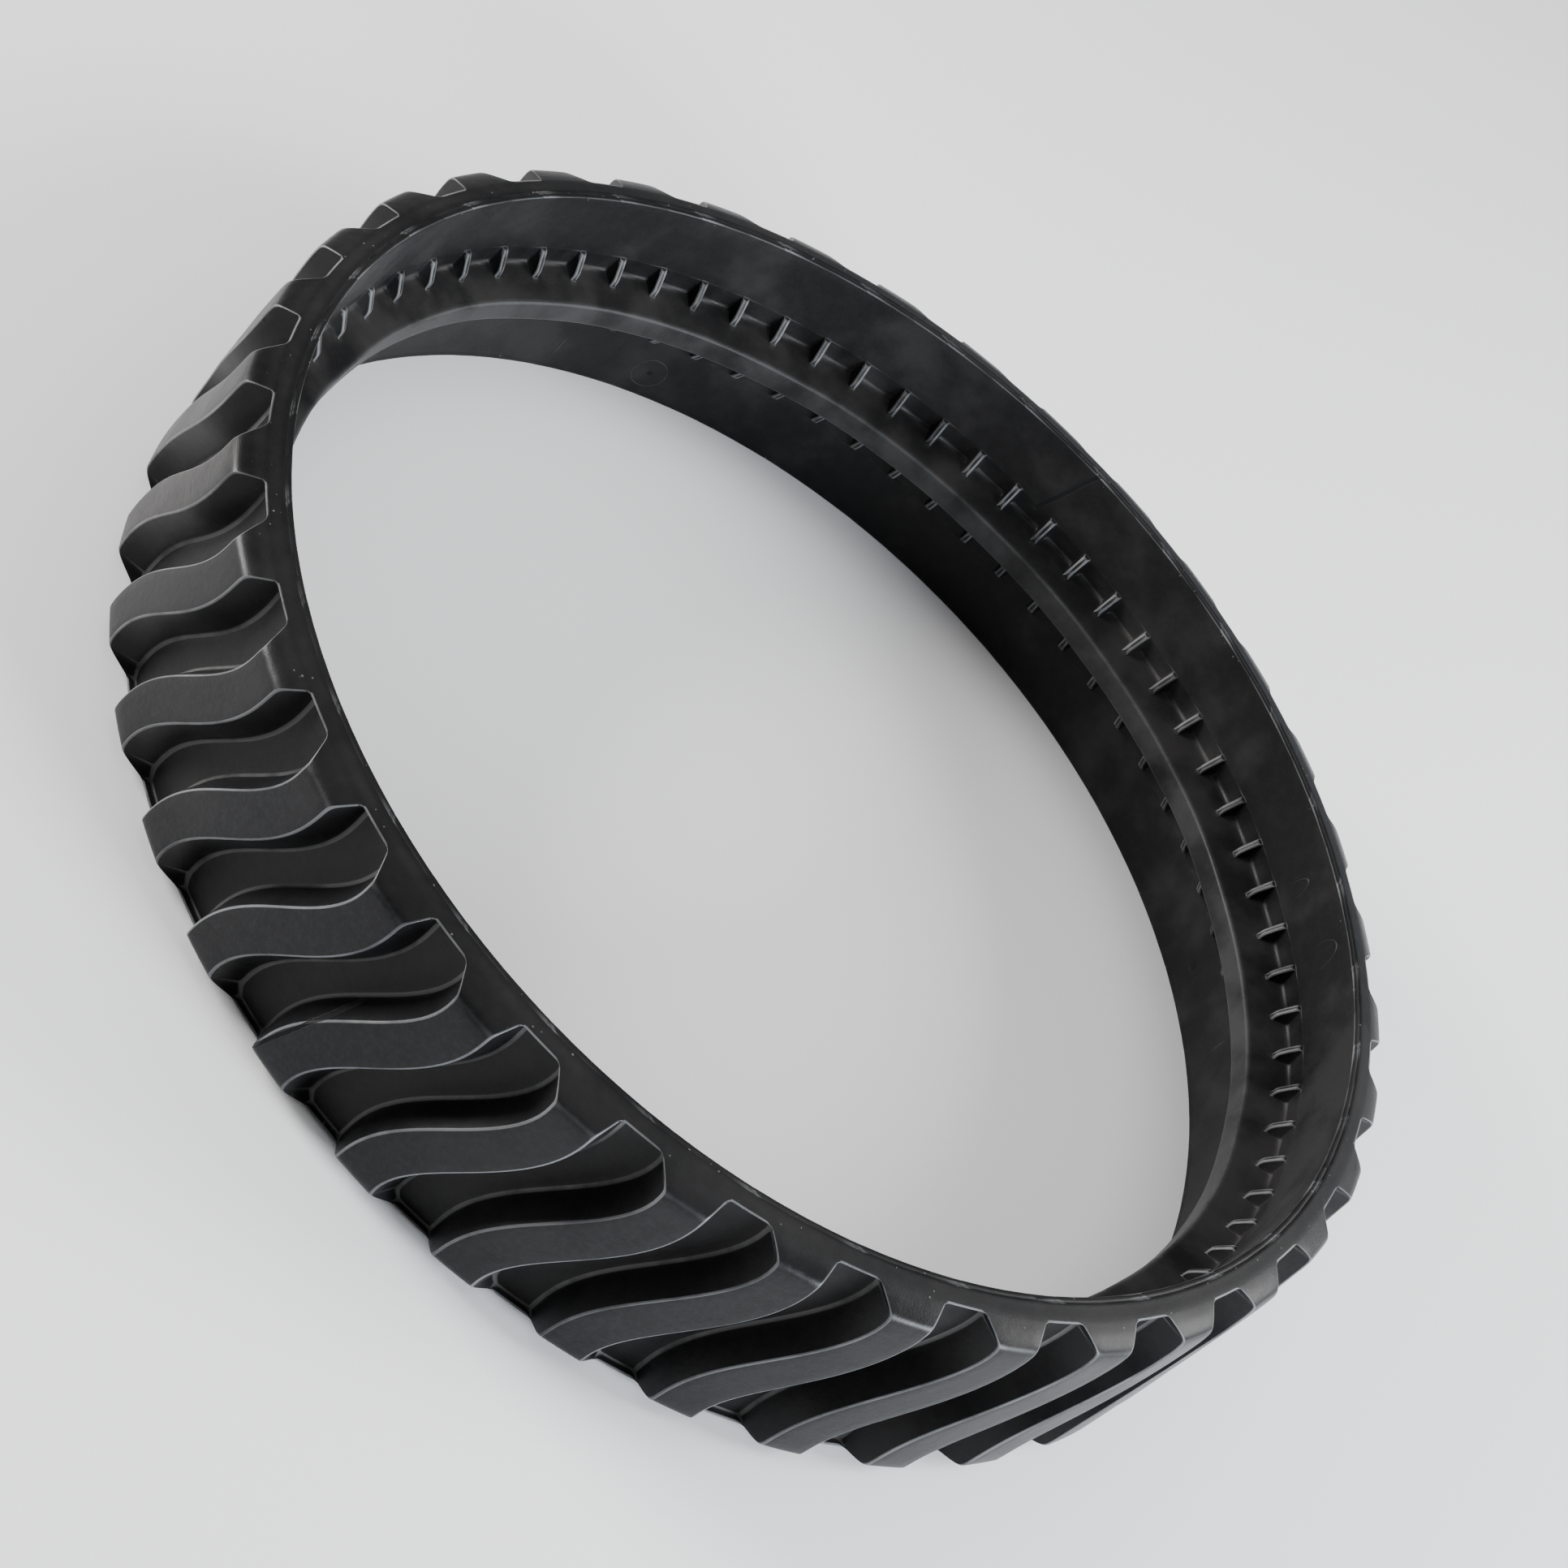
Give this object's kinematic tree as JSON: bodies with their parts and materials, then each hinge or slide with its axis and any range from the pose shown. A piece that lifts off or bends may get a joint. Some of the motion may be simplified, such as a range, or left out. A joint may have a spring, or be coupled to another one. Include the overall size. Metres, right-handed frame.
{
  "type": "rubber track",
  "caption": "Endless moulded rubber crawler track: wavy tread lugs outside, and inside a central guide rib between two rows of small drive teeth.",
  "frame": {"origin": "on the track's axis at the plane of the lower rim, which the track lies on", "axes": "+Z along the track's axis, from the lower rim to the upper rim; +X towards the middle of arc_000"},
  "size_m": [0.2488, 0.2488, 0.048],
  "materials": {
    "track_rubber": "satin"
  },
  "bodies": {
    "arc_225": {"band_225": "track_rubber", "tread_225": "track_rubber", "guide_rib_225": "track_rubber", "drive_teeth_225": "track_rubber"},
    "arc_270": {"band_270": "track_rubber", "tread_270": "track_rubber", "guide_rib_270": "track_rubber", "drive_teeth_270": "track_rubber"},
    "arc_315": {"band_315": "track_rubber", "tread_315": "track_rubber", "guide_rib_315": "track_rubber", "drive_teeth_315": "track_rubber"},
    "arc_000": {"band_000": "track_rubber", "tread_000": "track_rubber", "guide_rib_000": "track_rubber", "drive_teeth_000": "track_rubber"},
    "arc_030": {"band_030": "track_rubber", "tread_030": "track_rubber", "guide_rib_030": "track_rubber", "drive_teeth_030": "track_rubber"},
    "arc_180": {"band_180": "track_rubber", "tread_180": "track_rubber", "guide_rib_180": "track_rubber", "drive_teeth_180": "track_rubber"},
    "arc_135": {"band_135": "track_rubber", "tread_135": "track_rubber", "guide_rib_135": "track_rubber", "drive_teeth_135": "track_rubber"},
    "arc_090": {"band_090": "track_rubber", "tread_090": "track_rubber", "guide_rib_090": "track_rubber", "drive_teeth_090": "track_rubber"},
    "arc_060": {"band_060": "track_rubber", "tread_060": "track_rubber", "guide_rib_060": "track_rubber", "drive_teeth_060": "track_rubber"}
  },
  "joints": [
    {"name": "bend_195", "type": "hinge", "parent": "arc_225", "child": "arc_180", "pos_m": [-0.11301, -0.03028, 0.024], "axis": [0, 0, -1], "range_deg": [-18, 18], "stiffness_Nm_per_rad": 0.1},
    {"name": "bend_165", "type": "hinge", "parent": "arc_180", "child": "arc_135", "pos_m": [-0.11301, 0.03028, 0.024], "axis": [0, 0, -1], "range_deg": [-18, 18], "stiffness_Nm_per_rad": 0.1},
    {"name": "bend_105", "type": "hinge", "parent": "arc_135", "child": "arc_090", "pos_m": [-0.03028, 0.11301, 0.024], "axis": [0, 0, -1], "range_deg": [-18, 18], "stiffness_Nm_per_rad": 0.1},
    {"name": "bend_075", "type": "hinge", "parent": "arc_090", "child": "arc_060", "pos_m": [0.03028, 0.11301, 0.024], "axis": [0, 0, -1], "range_deg": [-18, 18], "stiffness_Nm_per_rad": 0.1},
    {"name": "bend_255", "type": "hinge", "parent": "arc_225", "child": "arc_270", "pos_m": [-0.03028, -0.11301, 0.024], "axis": [0, 0, 1], "range_deg": [-18, 18], "stiffness_Nm_per_rad": 0.1},
    {"name": "bend_285", "type": "hinge", "parent": "arc_270", "child": "arc_315", "pos_m": [0.03028, -0.11301, 0.024], "axis": [0, 0, 1], "range_deg": [-18, 18], "stiffness_Nm_per_rad": 0.1},
    {"name": "bend_345", "type": "hinge", "parent": "arc_315", "child": "arc_000", "pos_m": [0.11301, -0.03028, 0.024], "axis": [0, 0, 1], "range_deg": [-18, 18], "stiffness_Nm_per_rad": 0.1},
    {"name": "bend_015", "type": "hinge", "parent": "arc_000", "child": "arc_030", "pos_m": [0.11301, 0.03028, 0.024], "axis": [0, 0, 1], "range_deg": [-18, 18], "stiffness_Nm_per_rad": 0.1}
  ],
  "couplings": [
    {"joint": "bend_165", "follows": "bend_195", "ratio": 1},
    {"joint": "bend_345", "follows": "bend_195", "ratio": 1},
    {"joint": "bend_015", "follows": "bend_195", "ratio": 1},
    {"joint": "bend_105", "follows": "bend_195", "ratio": -1},
    {"joint": "bend_075", "follows": "bend_195", "ratio": -1},
    {"joint": "bend_255", "follows": "bend_195", "ratio": -1},
    {"joint": "bend_285", "follows": "bend_195", "ratio": -1}
  ]
}
